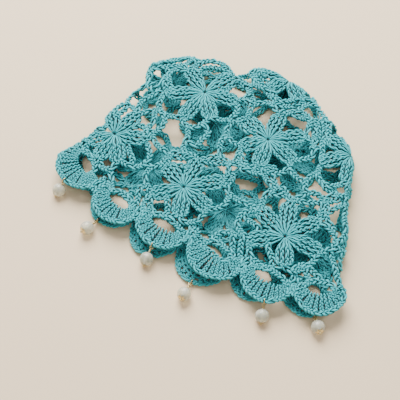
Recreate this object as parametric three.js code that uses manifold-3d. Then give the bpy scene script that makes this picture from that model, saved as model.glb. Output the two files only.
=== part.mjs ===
// Crochet lace hat, lying flat and folded double, with six bead drops on its scalloped brim.
// Millimetres. +X runs along the brim, +Y from the brim to the crown, +Z up. The hat lies on z = 0.
//
// The net is laid out on a chart: x and y as seen from above, and a side, FRONT for the upper layer
// and BACK for the lower one. The chart runs on past the fold line, round the fold and onto the
// other layer, and place() bends it there. A piece is drawn flat on the chart, then bent.
import * as THREE from "three";
import { mergeVertices } from "three/addons/utils/BufferGeometryUtils.js";
import Module from "manifold-3d";

const wasm = await Module();
wasm.setup();

const FRONT = 1;
const BACK = -1;
const DEGREE = Math.PI / 180;

// Yarn work
const GAP = 0.3; // between pieces that touch
const CHAIN_WIDTH = 5.6;
const THICKNESS = 3.8; // of a chain or petal
const PETAL_HALF_WIDTH = 9;
const PETAL_VALLEY = 7; // from a motif's centre to where two petals part
const PETAL_POINT = 2; // from the chain loops' ends to the petal's tip
const LOOP_SHOULDER = 0.16; // from a chain loop's apex to its shoulder, in shares of its whole turn
const FAN_RIM_THICKNESS = 2.4;
const FAN_STEPS = 7;
const FAN_SWEEP = 92 * DEGREE; // each way from the middle post of a scallop

// Heights of the two layers' middle surfaces
const BACK_HEIGHT = THICKNESS / 2;
const BACK_RIM_LIFT = 0.5;
const BRIM_HEIGHT = 11.5;
const CROWN_HEIGHT = 17;
const BRIM_Y = -25;
const CROWN_Y = 65;

// Drops
const BEAD_RADIUS = 5.25;
const BEAD_HOLE = 0.75;
const BEAD_SIDES = 10;
const BEAD_BANDS = 4;
const WIRE_RADIUS = 0.35;
const PIN_HEAD_RADIUS = 1.5;
const EYE_RADIUS = 1.3;
const NECK_RADIUS = 0.7;
const SHORTEST_NECK = 0.6;
const RING_RADIUS = 2;
const RING_WIRE = 0.4;
const RING_DROP = 45 * DEGREE; // how far down its ring a front pin's eye hangs
const RIM_MARGIN = 2.1; // from a scallop's rim to the stitch gap that its ring goes through
const STITCH_GAP = 1.3;

// The fold, from the left end of the brim round the crown to the right end, as seen from above.
const FOLD_INSET = 1.8; // half the yarn work's thickness, from the outline to the middle surface
const foldLine = new THREE.SplineCurve([
  [-132, -48], [-121, -24], [-113, -6], [-109, 12], [-108, 32], [-103, 54], [-102, 72], [-107, 90],
  [-97, 104], [-80, 119], [-56, 129], [-36, 131.5], [-22, 138], [0, 139], [25, 135], [50, 122],
  [70, 110], [86, 95], [97, 70], [106, 48], [117, 30], [121, 8], [134, -8], [150, -24], [166, -48],
].map(([x, y]) => new THREE.Vector2(x, y))).getPoints(200);
const FOLD_EDGE = 12; // longest edge of a face that bends
const EDGE_PROBES = [0, 0.25, 0.5, 0.75, 1]; // where along an edge its bending is looked for

// Six-petal motifs. A petal row is its angle, its length, the reach of the chain loop from its tip
// to the next petal's, and how far that loop leans past the middle, in degrees and millimetres.
const motifs = [
  { name: "crown_motif", side: FRONT, x: 3, y: 138, petals: [
    [-108, 22, 26, 0], [-45, 24, 28, 0], [15, 25, 33, 0],
    [75, 25, 33, 0], [135, 25, 33, 0], [195, 24, 30, 0]] },
  { name: "upper_motif_1", side: FRONT, x: -49.4, y: 86.6, petals: [
    [-147, 32, 40, 0], [-94, 32, 37, -6], [-48, 27, 34, 0],
    [11, 28, 36, -4], [66, 29, 33, -4], [152, 27, 35, 0]] },
  { name: "upper_motif_2", side: FRONT, x: 18.9, y: 72.7, petals: [
    [-128, 23, 32, 0], [-75, 26, 33, 0], [-17, 28, 37, 0],
    [40, 30, 39, 0], [97, 26, 36, 0], [160, 26, 33, 0]] },
  { name: "upper_motif_3", side: FRONT, x: 82.4, y: 96.1, petals: [
    [170, 23, 24, 0], [232, 27, 37, 0], [290, 27, 36, 0],
    [350, 26, 36, 0], [50, 26, 36, 0], [110, 26, 34, 0]] },
  { name: "upper_motif_4", side: BACK, x: 38, y: 74, petals: [
    [0, 23, 24, 0], [62, 23, 27, 0], [118, 23, 27, 0],
    [180, 25, 32, 0], [240, 25, 34, 0], [298, 23, 27, 0]] },
  { name: "upper_motif_5", side: BACK, x: -30, y: 73, petals: [
    [0, 23, 28, 0], [60, 23, 27, 0], [120, 24, 30, 0],
    [180, 23, 28, 0], [240, 25, 33, 0], [300, 23, 27, 0]] },
  { name: "upper_motif_6", side: BACK, x: -84, y: 86, petals: [
    [10, 20, 22, 0], [70, 24, 33, 0], [130, 25, 34, 0],
    [190, 25, 34, 0], [250, 25, 35, 0], [310, 22, 25, 0]] },
  { name: "lower_motif_1", side: FRONT, x: -90, y: 14, petals: [
    [-130, 22, 27, 0], [-85, 26, 33, 0], [-49, 26, 37, 0],
    [16, 26, 41, 8], [76, 25, 29, 0], [130, 22, 36, 0]] },
  { name: "lower_motif_2", side: FRONT, x: -15.7, y: 1.1, petals: [
    [-131, 25, 31, -5], [-67, 26, 32, -6], [-15, 28, 36, 0],
    [38, 31, 39, 0], [94, 26, 31, 6], [157, 24, 31, -5]] },
  { name: "lower_motif_3", side: FRONT, x: 73.3, y: 4.1, petals: [
    [-142, 28, 31, 0], [-64, 25, 30, -8], [2, 29, 37, -6],
    [58, 28, 42, 0], [111, 29, 40, -6], [160, 30, 37, 0]] },
  { name: "lower_motif_4", side: BACK, x: 92, y: 8, petals: [
    [-20, 24, 32, 0], [32, 25, 32, 0], [92, 22, 26, 0],
    [150, 24, 31, 0], [205, 25, 32, 0], [260, 23, 25, 0]] },
  { name: "lower_motif_5", side: BACK, x: 20, y: 6, petals: [
    [28, 24, 26, 0], [88, 19, 22, 0], [148, 24, 33, 0],
    [208, 25, 29, 0], [268, 24, 27, 0], [328, 25, 33, 0]] },
  { name: "lower_motif_6", side: BACK, x: -54, y: 8, petals: [
    [18, 25, 33, 0], [78, 25, 33, 0], [143, 25, 34, 0],
    [205, 25, 31, 0], [262, 24, 26, 0], [322, 25, 33, 0]] },
];

// Chains laid by hand: the piece that each belongs to, the earlier piece that it reaches for in
// place of the shortest bridge to it, if any, and its way across the chart.
const strands = [
  { piece: "lower_motif_1", way: [[-73, 48], [-69, 40], [-70, 31], [-66, 22]] },
  { piece: "upper_motif_2", way: [[-18, 98], [-9, 95]] },
  { piece: "lower_motif_2", reaches: "upper_motif_1", way: [[-43, 50], [-37, 40], [-35, 31], [-30, 26]] },
  { piece: "lower_motif_2", way: [[-12, 59], [-11, 48], [-7, 40], [-5, 34]] },
  { piece: "lower_motif_3", reaches: "lower_motif_2", way: [[18, 14], [30, 12], [45, 14]] },
  { piece: "lower_motif_3", reaches: "upper_motif_3", way: [[69, 66], [64, 58], [65, 50], [70, 44]] },
  { piece: "lower_motif_3", way: [[47, 55], [56, 53], [65, 52]] },
  { piece: "lower_motif_3", way: [[82, 46], [89, 54], [98, 59]] },
  { piece: "lower_motif_3", way: [[93, 68], [99, 56], [105, 40], [112, 28], [108, 17]] },
  { piece: "lower_motif_3", way: [[95, 31], [94, 41], [100, 52]] },
  { piece: "scallop_3", way: [[-29, -38], [-34, -28], [-34, -18]] },
  { piece: "scallop_4", reaches: "lower_motif_2", way: [[8, -26], [12, -31], [18, -37]] },
];

// Scallops, from the left fold along the front and back along the back. x and y are the middle of
// the eyelet above the fan of posts, and facing is the way the fan faces, in degrees.
const scallops = [
  { side: FRONT, x: -95, y: -22, facing: 236, half: 23, drop: 21, eyelet: 10, sag: 5, rise: 5 },
  { side: FRONT, x: -52, y: -37, facing: 258, half: 20, drop: 18, eyelet: 10, sag: 4, rise: 5 },
  { side: FRONT, x: -10, y: -36, facing: 270, half: 21, drop: 19, eyelet: 12, sag: 4, rise: 4 },
  { side: FRONT, x: 37, y: -35, facing: 268, half: 23, drop: 21, eyelet: 11, sag: 5, rise: 5 },
  { side: FRONT, x: 80, y: -33, facing: 272, half: 20, drop: 19, eyelet: 12, sag: 4, rise: 4 },
  { side: FRONT, x: 117, y: -22, facing: 295, half: 19, drop: 19, eyelet: 9, sag: 4, rise: 5 },
  { side: BACK, x: 109, y: -23, facing: 286, half: 19, drop: 19, eyelet: 10, sag: 4, rise: 7 },
  { side: BACK, x: 70, y: -30, facing: 270, half: 19, drop: 22, eyelet: 11, sag: 5, rise: 7 },
  { side: BACK, x: 29, y: -37, facing: 268, half: 22, drop: 25, eyelet: 12, sag: 7, rise: 10 },
  { side: BACK, x: -14, y: -36, facing: 266, half: 21, drop: 25, eyelet: 12, sag: 7, rise: 10 },
  { side: BACK, x: -55, y: -34, facing: 258, half: 20, drop: 21, eyelet: 10, sag: 5, rise: 8 },
  { side: BACK, x: -97, y: -18, facing: 226, half: 22, drop: 20, eyelet: 10, sag: 4, rise: 5 },
].map((row, index) => ({ ...row, name: `scallop_${index + 1}` }));

// Beads: the scallop that each hangs on, and where its middle lies on the table.
const drops = [
  { scallop: "scallop_1", x: -100.2, y: -49.5 },
  { scallop: "scallop_3", x: -7.4, y: -64.3 },
  { scallop: "scallop_5", x: 90.1, y: -59 },
  { scallop: "scallop_7", x: 128.9, y: -45.1 },
  { scallop: "scallop_9", x: 32.4, y: -74.1 },
  { scallop: "scallop_11", x: -61.3, y: -66 },
];

const materials = {
  yarn: new THREE.MeshStandardMaterial({ color: 0x68bec8, roughness: 0.9, metalness: 0 }),
  stone: new THREE.MeshStandardMaterial({ color: 0xc8c6bc, roughness: 0.25, metalness: 0 }),
  metal: new THREE.MeshStandardMaterial({ color: 0xb08d4a, roughness: 0.35, metalness: 1 }),
};

// Chart and fold

// The nearest point of the fold line, the way in from it, the signed distance in, and the fold's
// radius there.
function foldAt(x, y) {
  let best = { distance: Infinity };
  for (let i = 0; i + 1 < foldLine.length; i += 1) {
    const a = foldLine[i];
    const run = foldLine[i + 1].clone().sub(a);
    const share = THREE.MathUtils.clamp(
      ((x - a.x) * run.x + (y - a.y) * run.y) / run.lengthSq(), 0, 1);
    const foot = a.clone().addScaledVector(run, share);
    const distance = Math.hypot(x - foot.x, y - foot.y);
    if (distance < best.distance) {
      best = { distance, foot, inward: new THREE.Vector2(run.y, -run.x).normalize() };
    }
  }
  const { foot, inward } = best;
  const depth = (x - foot.x) * inward.x + (y - foot.y) * inward.y;
  const radius = (frontHeight(foot.y) - BACK_HEIGHT) / 2;
  return { foot, inward, depth: depth - FOLD_INSET, radius };
}

function frontHeight(y) {
  const share = THREE.MathUtils.smoothstep(y, BRIM_Y, CROWN_Y);
  return THREE.MathUtils.lerp(BRIM_HEIGHT, CROWN_HEIGHT, share);
}

function layerHeight(y, side) {
  return side === FRONT ? frontHeight(y) : BACK_HEIGHT;
}

// A chart point, lifted off the middle surface by lift on its outer side, in space.
function place(x, y, side, lift = 0) {
  const { foot, inward, depth, radius } = foldAt(x, y);
  if (depth >= radius) {
    return new THREE.Vector3(x, y, layerHeight(y, side) + side * lift);
  }
  const quarter = (Math.PI * radius) / 2;
  const along = depth - radius + quarter; // from the fold's crest, on the point's own side
  if (along > -quarter) {
    const angle = along / radius;
    const reach = FOLD_INSET + radius - (radius + lift) * Math.cos(angle);
    const height = BACK_HEIGHT + radius + side * (radius + lift) * Math.sin(angle);
    return new THREE.Vector3(foot.x + inward.x * reach, foot.y + inward.y * reach, height);
  }
  const reach = FOLD_INSET + radius - along - quarter;
  const spot = foot.clone().addScaledVector(inward, reach);
  return new THREE.Vector3(spot.x, spot.y, layerHeight(spot.y, -side) - side * lift);
}

// A point in the plane of one layer's chart, as the other layer's chart counts it.
function acrossFold(point) {
  const { foot, inward, depth, radius } = foldAt(point.x, point.y);
  const other = 2 * radius - Math.PI * radius - depth + FOLD_INSET;
  return foot.clone().addScaledVector(inward, other);
}

// Solids

function toSolid(geometry) {
  const bare = geometry.index ? geometry.toNonIndexed() : geometry.clone();
  bare.deleteAttribute("normal");
  bare.deleteAttribute("uv");
  const merged = mergeVertices(bare, 1e-4);
  return new wasm.Manifold(new wasm.Mesh({
    numProp: 3,
    vertProperties: new Float32Array(merged.attributes.position.array),
    triVerts: new Uint32Array(merged.index.array),
  }));
}

function toGeometry(solid) {
  const mesh = solid.getMesh();
  const geometry = new THREE.BufferGeometry();
  geometry.setAttribute("position", new THREE.BufferAttribute(new Float32Array(mesh.vertProperties), 3));
  geometry.setIndex(new THREE.BufferAttribute(new Uint32Array(mesh.triVerts), 1));
  geometry.computeVertexNormals();
  return geometry;
}

function joined(geometries) {
  return geometries.map(toSolid).reduce((whole, piece) => whole.add(piece));
}

// A flat outline of the chart as a slab, its middle on z = 0.
function slab(outline, thickness) {
  const geometry = new THREE.ExtrudeGeometry(new THREE.Shape(outline), {
    depth: thickness, bevelEnabled: false, steps: 1,
  });
  return geometry.translate(0, 0, -thickness / 2);
}

// A strip along points, with half widths of its own at each of them.
function strip(points, halfWidths, thickness) {
  const left = [];
  const right = [];
  points.forEach((point, i) => {
    const ahead = points[Math.min(i + 1, points.length - 1)].clone();
    const along = ahead.sub(points[Math.max(i - 1, 0)]).normalize();
    const across = new THREE.Vector2(-along.y, along.x).multiplyScalar(halfWidths[i]);
    left.push(point.clone().add(across));
    right.unshift(point.clone().sub(across));
  });
  return slab([...left, ...right], thickness);
}

function chain(points, grow) {
  return strip(points, points.map(() => CHAIN_WIDTH / 2 + grow), THICKNESS + 2 * grow);
}

function bendsAt(point) {
  const { depth, radius } = foldAt(point.x, point.y);
  return depth < radius && depth > radius - Math.PI * radius;
}

function bendsBetween(p, q) {
  return EDGE_PROBES.some((share) => bendsAt(p.clone().lerp(q, share)));
}

// A triangle's parts, halved at each long edge that bends, so that neighbours stay joined.
function divided([a, b, c]) {
  const long = [[a, b, c], [b, c, a], [c, a, b]]
    .filter(([p, q]) => p.distanceTo(q) > FOLD_EDGE && bendsBetween(p, q))
    .sort(([p, q], [r, t]) => r.distanceTo(t) - p.distanceTo(q))[0];
  if (!long) return [[a, b, c]];
  const [p, q, r] = long;
  const middle = p.clone().add(q).multiplyScalar(0.5);
  return [...divided([p, middle, r]), ...divided([middle, q, r])];
}

function dividedAtFold(geometry) {
  const soup = geometry.toNonIndexed().attributes.position;
  const corner = (i) => new THREE.Vector3().fromBufferAttribute(soup, i);
  const points = [];
  for (let i = 0; i < soup.count; i += 3) {
    points.push(...divided([corner(i), corner(i + 1), corner(i + 2)]).flat());
  }
  return new THREE.BufferGeometry().setFromPoints(points);
}

// A flat solid's vertices moved from the chart into space.
function bent(solid, side, rise = () => 0, squeeze = () => 1) {
  const geometry = dividedAtFold(toGeometry(solid));
  const position = geometry.attributes.position;
  for (let i = 0; i < position.count; i += 1) {
    const x = position.getX(i);
    const y = position.getY(i);
    const spot = place(x, y, side, side * position.getZ(i) * squeeze(x, y));
    position.setXYZ(i, spot.x, spot.y, spot.z + rise(x, y));
  }
  return toSolid(geometry);
}

// Motifs

function polar(centre, degrees, reach) {
  return new THREE.Vector2(
    centre.x + reach * Math.cos(degrees * DEGREE),
    centre.y + reach * Math.sin(degrees * DEGREE));
}

// The chain loop from one petal's tip out to its reach and back to the next petal's tip.
function loopPoints(motif, index) {
  const [angle, length, reach, lean] = motif.petals[index];
  const [nextAngle, nextLength] = motif.petals[(index + 1) % motif.petals.length];
  const turn = THREE.MathUtils.euclideanModulo(nextAngle - angle, 360);
  const apex = angle + turn / 2 + lean;
  const shoulder = LOOP_SHOULDER * turn;
  return [
    polar(motif, angle, length),
    polar(motif, apex - shoulder, reach),
    polar(motif, apex + shoulder, reach),
    polar(motif, nextAngle, nextLength),
  ];
}

// A petal from the centre out: the valleys on its two sides, its shoulders and its tip.
function petalSlab(motif, index, grow) {
  const count = motif.petals.length;
  const [angle, length] = motif.petals[index];
  const before = motif.petals[(index + count - 1) % count][0];
  const after = motif.petals[(index + 1) % count][0];
  const halfBefore = THREE.MathUtils.euclideanModulo(angle - before, 360) / 2;
  const halfAfter = THREE.MathUtils.euclideanModulo(after - angle, 360) / 2;
  const along = polar({ x: 0, y: 0 }, angle, 1);
  const across = new THREE.Vector2(-along.y, along.x);
  const spot = (share, half) => new THREE.Vector2(motif.x, motif.y)
    .addScaledVector(along, share * length).addScaledVector(across, half);
  const half = PETAL_HALF_WIDTH + grow;
  return slab([
    new THREE.Vector2(motif.x, motif.y),
    polar(motif, angle - halfBefore, PETAL_VALLEY + grow),
    spot(0.68, -half), spot(1, 0).addScaledVector(along, PETAL_POINT + grow), spot(0.68, half),
    polar(motif, angle + halfAfter, PETAL_VALLEY + grow),
  ], THICKNESS + 2 * grow);
}

function motifSlabs(motif, grow) {
  return motif.petals.flatMap((_, index) => [
    petalSlab(motif, index, grow),
    chain(loopPoints(motif, index), grow),
  ]);
}

// Scallops

// A point of a scallop's ellipses: turn 0 is the middle of the fan and a half turn the eyelet's top.
function scallopPoint(scallop, turn, half, drop) {
  const facing = scallop.facing * DEGREE;
  const sideways = half * Math.sin(turn);
  const outward = drop * Math.cos(turn);
  return new THREE.Vector2(
    scallop.x + outward * Math.cos(facing) - sideways * Math.sin(facing),
    scallop.y + outward * Math.sin(facing) + sideways * Math.cos(facing));
}

function fanSlab(scallop, grow) {
  const turns = Array.from({ length: FAN_STEPS + 1 }, (_, i) => FAN_SWEEP * ((2 * i) / FAN_STEPS - 1));
  const rim = turns.map((turn) => scallopPoint(scallop, turn, scallop.half + grow, scallop.drop + grow));
  const inner = turns.map((turn) =>
    scallopPoint(scallop, turn, scallop.eyelet - grow, scallop.sag - grow));
  return slab([...rim, ...inner.reverse()], THICKNESS + 2 * grow);
}

function eyeletChain(scallop) {
  const steps = 4;
  const half = scallop.eyelet + CHAIN_WIDTH / 2;
  return Array.from({ length: steps + 1 }, (_, i) => {
    const turn = Math.PI / 2 + 0.06 + ((Math.PI - 0.12) * i) / steps;
    return scallopPoint(scallop, turn, half, scallop.rise + CHAIN_WIDTH / 2);
  });
}

// How far out a chart point lies between a scallop's eyelet (0) and its rim (1).
function rimShare(scallop, x, y) {
  const away = new THREE.Vector2(x - scallop.x, y - scallop.y);
  away.rotateAround(new THREE.Vector2(), -scallop.facing * DEGREE);
  const outer = Math.hypot(away.x / scallop.drop, away.y / scallop.half);
  return away.x > 0 ? THREE.MathUtils.smoothstep(outer, 0.3, 1) : 0;
}

function bentScallop(scallop, flat) {
  const lift = scallop.side === BACK ? BACK_RIM_LIFT : 0;
  const thinning = 1 - FAN_RIM_THICKNESS / THICKNESS;
  return bent(flat, scallop.side,
    (x, y) => lift * rimShare(scallop, x, y),
    (x, y) => 1 - thinning * rimShare(scallop, x, y));
}

// Joins between neighbours

function centreLines(piece) {
  return piece.petals
    ? piece.petals.map((_, index) => loopPoints(piece, index))
    : [eyeletChain(piece)];
}

function samples(piece) {
  return centreLines(piece).flatMap((points) => new THREE.Path(points).getSpacedPoints(16));
}

// The short chain that a piece throws across to its neighbour, where the two come closest.
function bridge(piece, neighbour) {
  const ends = piece.side === neighbour.side
    ? samples(neighbour)
    : samples(neighbour).map(acrossFold);
  let best = { distance: Infinity };
  for (const near of samples(piece)) {
    for (const far of ends) {
      const distance = near.distanceTo(far);
      if (distance < best.distance) best = { distance, near, far };
    }
  }
  return [best.near, best.far];
}

// What each piece reaches for: the pieces before it that it is crocheted onto.
const [crown, ...others] = motifs;
const upper = others.slice(0, 6);
const lower = others.slice(6);
const joins = new Map([[crown, []]]);
upper.forEach((motif, i) => joins.set(motif, i === 0 ? [crown] : [crown, upper[i - 1]]));
joins.get(upper[5]).push(upper[0]);
lower.forEach((motif, i) => {
  joins.set(motif, [upper[i], upper[(i + 5) % 6], ...(i > 0 ? [lower[i - 1]] : [])]);
});
joins.get(lower[5]).push(lower[0]);
scallops.forEach((scallop, i) => joins.set(scallop, [lower[Math.floor(i / 2)]]));

function flatPiece(piece, grow) {
  const own = piece.petals
    ? motifSlabs(piece, grow)
    : [fanSlab(piece, grow), chain(eyeletChain(piece), grow)];
  const laid = strands.filter((row) => row.piece === piece.name);
  const byHand = laid.map((row) => row.way.map(([x, y]) => new THREE.Vector2(x, y)));
  const bridges = joins.get(piece)
    .filter((neighbour) => laid.every((row) => row.reaches !== neighbour.name))
    .map((neighbour) => bridge(piece, neighbour));
  return joined([...own, ...[...byHand, ...bridges].map((points) => chain(points, grow))]);
}

function bentPiece(piece, grow = 0) {
  const flat = flatPiece(piece, grow);
  return piece.petals ? bent(flat, piece.side) : bentScallop(piece, flat);
}

// Drops

// Where a drop hangs: the stitch gap in the scallop's rim, the way out from it, and the bead.
function hanging(drop) {
  const scallop = scallops.find((row) => row.name === drop.scallop);
  const facing = scallop.facing * DEGREE;
  const away = new THREE.Vector2(drop.x - scallop.x, drop.y - scallop.y).rotateAround(
    new THREE.Vector2(), -facing);
  const turn = Math.atan2(away.y / scallop.half, away.x / scallop.drop);
  const hole = scallopPoint(scallop, turn, scallop.half - RIM_MARGIN, scallop.drop - RIM_MARGIN);
  const height = layerHeight(hole.y, scallop.side) + (scallop.side === BACK ? BACK_RIM_LIFT : 0);
  const out = new THREE.Vector3(drop.x - hole.x, drop.y - hole.y, 0).normalize();
  const stitch = new THREE.Vector3(hole.x, hole.y, height);
  const ring = stitch.clone().addScaledVector(out, RING_RADIUS);
  const hang = scallop.side === FRONT ? RING_DROP : -RING_DROP / 3;
  const eye = ring.clone().addScaledVector(out, RING_RADIUS * Math.cos(hang));
  eye.z -= RING_RADIUS * Math.sin(hang);
  const wanted = new THREE.Vector3(drop.x, drop.y, BEAD_RADIUS);
  const shortest = BEAD_RADIUS + SHORTEST_NECK + EYE_RADIUS;
  const shank = Math.max(shortest, wanted.distanceTo(eye));
  const level = Math.sqrt(shank ** 2 - (eye.z - BEAD_RADIUS) ** 2);
  const bead = eye.clone().addScaledVector(out, level);
  bead.z = BEAD_RADIUS;
  return { scallop, out, stitch, ring, eye, bead, shank };
}

// A turn that takes +Y to the given way.
function yTurnedTo(way) {
  return new THREE.Quaternion().setFromUnitVectors(new THREE.Vector3(0, 1, 0), way);
}

function beadGeometry() {
  const tilt = Math.asin(BEAD_HOLE / BEAD_RADIUS);
  const arc = Array.from({ length: BEAD_BANDS + 1 }, (_, i) => {
    const angle = tilt + ((Math.PI - 2 * tilt) * i) / BEAD_BANDS;
    return new THREE.Vector2(BEAD_RADIUS * Math.sin(angle), -BEAD_RADIUS * Math.cos(angle));
  });
  return new THREE.LatheGeometry([...arc, arc[0].clone()], BEAD_SIDES);
}

// A pin along +Y through a bead at the origin: head below, eye above, its loop in the XY plane.
function pinSolid(shank) {
  const eyeFoot = shank - EYE_RADIUS;
  const bottom = -BEAD_RADIUS - GAP;
  const wire = new THREE.CylinderGeometry(WIRE_RADIUS, WIRE_RADIUS, eyeFoot - bottom, 5);
  wire.translate(0, (eyeFoot + bottom) / 2, 0);
  const head = new THREE.SphereGeometry(PIN_HEAD_RADIUS, 6, 3).scale(1, 0.45, 1);
  head.translate(0, bottom - 0.45 * PIN_HEAD_RADIUS + 0.1, 0);
  const neckFoot = BEAD_RADIUS + GAP;
  const neck = new THREE.CylinderGeometry(NECK_RADIUS, NECK_RADIUS, eyeFoot - neckFoot, 5);
  neck.translate(0, (eyeFoot + neckFoot) / 2, 0);
  const eye = new THREE.TorusGeometry(EYE_RADIUS, WIRE_RADIUS, 5, 8).translate(0, shank, 0);
  return joined([wire, head, neck, eye]);
}

// Assembly

function named(geometry, name, material) {
  const mesh = new THREE.Mesh(geometry, material);
  mesh.name = name;
  return mesh;
}

function stitchGapCut(spot) {
  const cut = new THREE.CylinderGeometry(STITCH_GAP, STITCH_GAP, 3 * THICKNESS, 8);
  return toSolid(cut.rotateX(Math.PI / 2).translate(spot.x, spot.y, spot.z));
}

function overlaps(a, b) {
  const [boxA, boxB] = [a, b].map((solid) => solid.boundingBox());
  return [0, 1, 2].every((axis) => boxA.min[axis] < boxB.max[axis] && boxB.min[axis] < boxA.max[axis]);
}

// The largest body of a cut solid, without the crumbs that the cut leaves loose.
function largestBody(solid) {
  return solid.decompose().reduce((a, b) => (a.volume() > b.volume() ? a : b));
}

function yarnWork() {
  const group = new THREE.Group();
  const cutters = [];
  for (const piece of [...motifs, ...scallops]) {
    let solid = bentPiece(piece);
    for (const cutter of cutters) {
      if (overlaps(solid, cutter)) solid = solid.subtract(cutter);
    }
    solid = largestBody(solid);
    cutters.push(bentPiece(piece, GAP).add(solid));
    for (const drop of drops.filter((row) => row.scallop === piece.name)) {
      solid = solid.subtract(stitchGapCut(hanging(drop).stitch));
    }
    group.add(named(toGeometry(solid), piece.name, materials.yarn));
  }
  return group;
}

function beadDrop(drop, number) {
  const group = new THREE.Group();
  const { out, ring, eye, bead, shank } = hanging(drop);
  const way = eye.clone().sub(bead).normalize();
  const sideways = new THREE.Vector3(-out.y, out.x, 0);
  const upright = new THREE.Vector3().crossVectors(sideways, way);
  const turn = new THREE.Quaternion().setFromRotationMatrix(
    new THREE.Matrix4().makeBasis(sideways, way, upright));

  const beadMesh = named(beadGeometry(), `bead_${number}`, materials.stone);
  beadMesh.position.copy(bead);
  beadMesh.quaternion.copy(yTurnedTo(way));

  const pin = named(toGeometry(pinSolid(shank)), `bead_pin_${number}`, materials.metal);
  pin.position.copy(bead);
  pin.quaternion.copy(turn);

  const torus = new THREE.TorusGeometry(RING_RADIUS, RING_WIRE, 5, 10);
  const jumpRing = named(torus, `jump_ring_${number}`, materials.metal);
  jumpRing.position.copy(ring);
  jumpRing.quaternion.setFromRotationMatrix(new THREE.Matrix4().makeBasis(
    out, new THREE.Vector3(0, 0, 1), sideways.clone().negate()));

  group.add(beadMesh, pin, jumpRing);
  return group;
}

const hat = new THREE.Group();
hat.name = "crochet_hat";
hat.add(yarnWork());
drops.forEach((drop, index) => hat.add(beadDrop(drop, index + 1)));

// The origin goes to the middle of the underside.
const box = new THREE.Box3().setFromObject(hat, true);
const middle = box.getCenter(new THREE.Vector3());
hat.position.set(-middle.x, -middle.y, -box.min.z);

export default hat;
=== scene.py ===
import math
import random

import bmesh
import bpy
import numpy as np
from mathutils import Matrix, Vector


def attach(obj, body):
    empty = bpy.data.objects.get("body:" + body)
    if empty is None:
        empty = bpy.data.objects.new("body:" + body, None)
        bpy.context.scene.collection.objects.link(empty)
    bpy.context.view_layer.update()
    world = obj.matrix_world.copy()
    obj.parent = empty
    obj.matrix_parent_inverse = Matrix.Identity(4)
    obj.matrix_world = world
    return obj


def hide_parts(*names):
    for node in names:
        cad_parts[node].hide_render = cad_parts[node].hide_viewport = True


bl_info = {
    "name": "Crochet Hat",
    "version": (1, 0, 0),
    "blender": (4, 5, 0),
    "location": "3D View > Sidebar > Crochet Hat",
    "description": "Works an openwork hat with bead drops, strand by strand, over its plain solids",
    "category": "Add Mesh",
}

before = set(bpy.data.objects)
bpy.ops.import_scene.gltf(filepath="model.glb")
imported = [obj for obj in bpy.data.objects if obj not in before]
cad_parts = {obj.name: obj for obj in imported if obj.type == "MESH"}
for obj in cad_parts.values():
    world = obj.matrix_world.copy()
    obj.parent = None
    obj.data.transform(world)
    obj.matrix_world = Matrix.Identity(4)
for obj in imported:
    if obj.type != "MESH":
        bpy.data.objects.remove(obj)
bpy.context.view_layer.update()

# Lengths below are millimetres on the hat's chart, and metres once a piece is made.
MM = 0.001
CHART_TO_HAT = np.array((-9.16, -29.31, 0.0))
FRONT = 1
BACK = -1
TAU = 2 * math.pi

# Heights of the two layers' middle surfaces, and the fold
THICKNESS = 3.8
BACK_HEIGHT = THICKNESS / 2
BACK_RIM_LIFT = 0.5
BRIM_HEIGHT = 11.5
CROWN_HEIGHT = 17
BRIM_Y = -25
CROWN_Y = 65
FOLD_INSET = 1.8
FOLD_WAY = [
    (-132, -48), (-121, -24), (-113, -6), (-109, 12), (-108, 32), (-103, 54), (-102, 72),
    (-107, 90), (-97, 104), (-80, 119), (-56, 129), (-36, 131.5), (-22, 138), (0, 139), (25, 135),
    (50, 122), (70, 110), (86, 95), (97, 70), (106, 48), (117, 30), (121, 8), (134, -8),
    (150, -24), (166, -48),
]

# A chain's width, how far a loop's two shoulders stand from its middle as a share of the turn
# between its petals, and the thickness of the scallops' rims
CHAIN_WIDTH = 5.6
LOOP_SHOULDER = 0.16
FAN_RIM_THICKNESS = 2.4

# Stitches: the step along a strand, the length in which three strands of a petal's and of a
# scallop's posts plait once, where petals start, how much of the painted shade the lower layer's
# cores keep, and how far off each layer's middle surface the yarn under the petals and under the
# scallops' posts lies, which is painted dark as shade in the gaps
STRAND_STEP = 0.95
PETAL_PLAIT = 14
SCALLOP_PLAIT = 8
PETAL_ROOT = 4
LOWER_CORE_SHADE = 0.42
UNDER_PETAL = {FRONT: -1.1, BACK: 0.6}
UNDER_SCALLOP = {FRONT: -0.7, BACK: 0.3}
UNDER_THICKNESS = 1.8

# A filling chain's end this near to other yarn is fastened. Any other end is drawn on to the
# nearest yarn that lies ahead of it, within the reach and within the cosine of its way.
END_GAP = 1.5
END_REACH = 14
END_COSINE = 0.3

# Scallops: how far round the posts go, how far the arms beside the eyelet reach up at their outer
# and inner sides, and how far the posts stay inside the fan's edge
FAN_TURN = 1.85
ARM_DROP = 16
ARM_SAG = 12
POST_MARGIN = 2.6

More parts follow.
